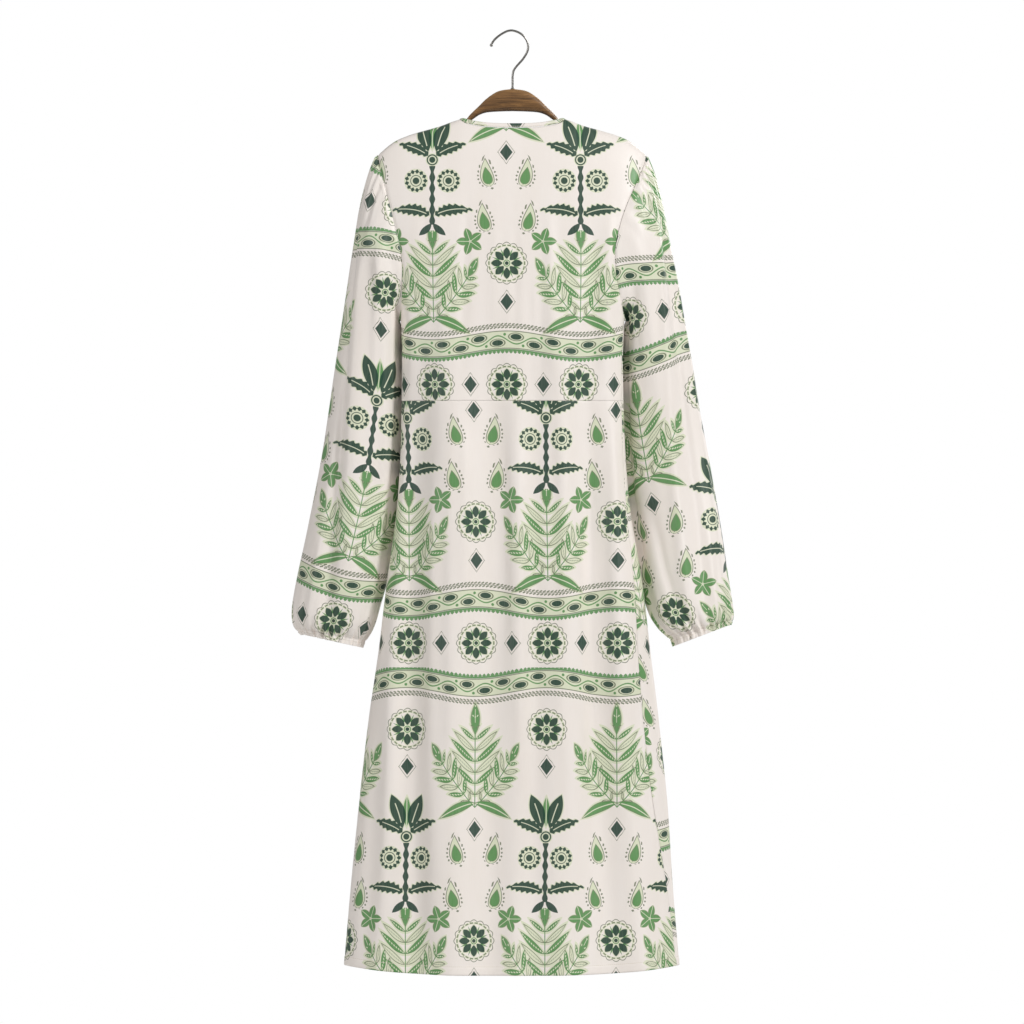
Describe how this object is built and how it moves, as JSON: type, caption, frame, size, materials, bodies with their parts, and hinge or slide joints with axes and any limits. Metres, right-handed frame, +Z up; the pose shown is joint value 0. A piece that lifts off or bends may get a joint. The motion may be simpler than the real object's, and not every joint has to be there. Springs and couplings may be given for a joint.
{
  "type": "shirt dress on a wooden hanger",
  "caption": "Long-sleeved midi shirt dress in printed satin-faced cloth, hanging on a wooden hanger with a wire hook.",
  "frame": {"origin": "underside of the hook's crown, where a rail carries it", "axes": "+Z up; the back of the dress faces -Y and its front +Y; the wearer's left is -X"},
  "size_m": [0.606, 0.144, 1.3008],
  "materials": {
    "printed_cloth": "satin-faced printed viscose",
    "button_shell": "polished four-hole button",
    "hanger_wood": "brown stained and lacquered",
    "hook_steel": "plated wire"
  },
  "bodies": {
    "root": {"bodice_back": "printed_cloth", "bodice_front_left": "printed_cloth", "bodice_front_right": "printed_cloth", "skirt_back": "printed_cloth", "skirt_front_left": "printed_cloth", "skirt_front_right": "printed_cloth", "sleeve_left": "printed_cloth", "sleeve_right": "printed_cloth", "neck_band_back": "printed_cloth", "neck_band_left": "printed_cloth", "neck_band_right": "printed_cloth", "button_01": "button_shell", "button_02": "button_shell", "button_03": "button_shell", "button_04": "button_shell", "button_05": "button_shell", "button_06": "button_shell", "button_07": "button_shell", "button_08": "button_shell", "button_09": "button_shell", "button_10": "button_shell", "hanger_wood": "hanger_wood", "hanger_hook": "hook_steel"}
  },
  "joints": []
}
